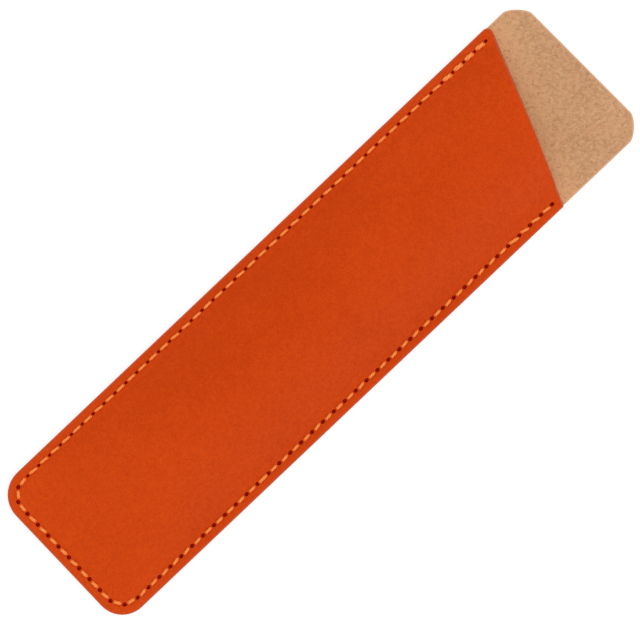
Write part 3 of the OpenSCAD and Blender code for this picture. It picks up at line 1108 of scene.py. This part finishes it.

# %% [markdown]
# ## The cut edge
# A cut edge shows the hide's section: pink where the dye went in from the grain side, with a
# painted highlight of the rounded edge there too, browner below, and tan like the flesh side at
# its last tenths of a millimetre. Its fibres are cut short, so they are three times as fine. The
# depth that each point keeps gives the colours their places.

# %% Cut edge
# The colour at the grain is the dye's pink with a painted highlight of the rounded edge.
CUT_DYED_AND_HIGHLIT = (0.66, 0.080, 0.028, 1)
CUT_AT_FLESH = (0.56, 0.240, 0.120, 1)
CUT_SHADE = (0.35, 0.050, 0.015, 1)
DYED_THROUGH, CUT_STREAKED, TO_FLESH = (0.3, 1.2), (0.35, 0.75, 0.0, 0.5), (1.1, 1.33)
cut_side, tree, output = empty_material("cut_edge")
where = add(tree, "ShaderNodeTexCoord").outputs["Object"]
depth = kept_value(tree, "below_grain")
fibres = use_group(tree, loose_fibres, {"Vector": where, "Fineness": 3.0}).outputs
# Painted highlight: the cut is lighter and pinker at the grain, as well as dyed there.
colour = blend(tree, stretch_range(tree, depth, *DYED_THROUGH), CUT_DYED_AND_HIGHLIT, CUT_AT_FLESH)
streaks = stretch_range(tree, fibres["Streaks"], *CUT_STREAKED)
colour = blend(tree, streaks, colour, CUT_SHADE)
colour = blend(tree, stretch_range(tree, depth, *TO_FLESH), colour, TAN_LIGHT)
dress(cut_side, output,
      {"Height": fibres["Height"], "Strength": 0.4, "Distance": 0.05 * MM},
      {"Base Color": colour, "Roughness": 0.7, "Specular IOR Level": 0.15})

# %% [markdown]
# ## The waxed thread
# The thread is brighter than the leather. Its plies carry a painted highlight on their crests and
# on the top of each stitch, with painted shade between them, its fibres run along them, and
# painted shade darkens it as it goes down into a hole. The pattern reads where each point was on
# the straight cord, so it follows every bend.

# %% Waxed thread
THREAD_DEEP = (0.84, 0.125, 0.012, 1)
# The light thread colour is the thread lit: a painted highlight on ply crests and stitch tops.
THREAD_LIT = (1.0, 0.40, 0.105, 1)
FIBRES_ALONG = (1.2, 14.0, 14.0)
BETWEEN_PLIES, ON_CREST = CORD_R * (1 - 2 * PLY_DEPTH), CORD_R * 0.97
# Painted light on ply crests and stitch tops, painted shade between the plies and into the holes.
CREST_PAINTED_LIGHT, FIBRE_LIGHT = (0.4, 1.0), (0.2, 0.7, 0.6, 1.0)
TOP_PAINTED_LIGHT, INTO_HOLE_SHADE = (-0.05, -0.55, 0.35, 1.0), (-0.20, 0.32)
PATCH_SHARE = 0.25
THREAD_ROUGH = (0.2, 0.8, 0.42, 0.55)
thread_finish, tree, output = empty_material("waxed_thread")
lay = add(tree, "ShaderNodeAttribute", attribute_name="cord_lay").outputs["Vector"]
fibre = noise(tree, vector_maths(tree, "MULTIPLY", lay, FIBRES_ALONG), size=1.0)
where = add(tree, "ShaderNodeTexCoord").outputs["Object"]
patches = use_group(tree, dye_patches, {"Vector": where, "Contrast": 1.2}).outputs["Patches"]
radius = vector_maths(tree, "LENGTH", vector_maths(tree, "MULTIPLY", lay, (0, 1, 1)))
# Painted highlight on the ply crests, painted shade between them.
share = stretch_range(tree, radius, BETWEEN_PLIES, ON_CREST, *CREST_PAINTED_LIGHT)
share = maths(tree, "MULTIPLY", share, stretch_range(tree, fibre, *FIBRE_LIGHT))
sunk = kept_value(tree, "sunk")
# Painted highlight on the top of each stitch, painted shade lower down.
share = maths(tree, "MULTIPLY", share, stretch_range(tree, sunk, *TOP_PAINTED_LIGHT))
colour = blend(tree, share, THREAD_DEEP, THREAD_LIT)
colour = blend(tree, maths(tree, "MULTIPLY", patches, PATCH_SHARE), colour, THREAD_DEEP)
# Painted shade where the thread goes down into a hole.
colour = blend(tree, stretch_range(tree, sunk, *INTO_HOLE_SHADE), colour, HOLE_PAINTED_SHADE)
dress(thread_finish, output,
      {"Height": fibre, "Strength": 0.3, "Distance": 0.03 * MM},
      {"Base Color": colour, "Roughness": stretch_range(tree, patches, *THREAD_ROUGH),
       "Specular IOR Level": 0.08})

# %% Put the finishes on
leather = (grain_side, flesh_side, cut_side)
for piece, finishes in ((front, leather), (back_panel, leather),
                        (front_stitches, (thread_finish,)), (back_stitches, (thread_finish,))):
    for finish in finishes:
        piece.data.materials.append(finish)
    print(piece.name, "has", [finish.name for finish in finishes])

# %% [markdown]
# ## Tie the pieces to the frame
# The sleeve has no joints, so all pieces ride on the one body. Each stands for the CAD solid
# that it was made from, which is hidden.

# %% Ride and replace
for piece, node, slot_name in ((front, "front_panel", "orange_leather"),
                               (back_panel, "back_panel", "tan_leather"),
                               (front_stitches, "needle_thread", "thread"),
                               (back_stitches, "bobbin_thread", "thread")):
    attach(piece, "root")
    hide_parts(node)
    measure(piece)
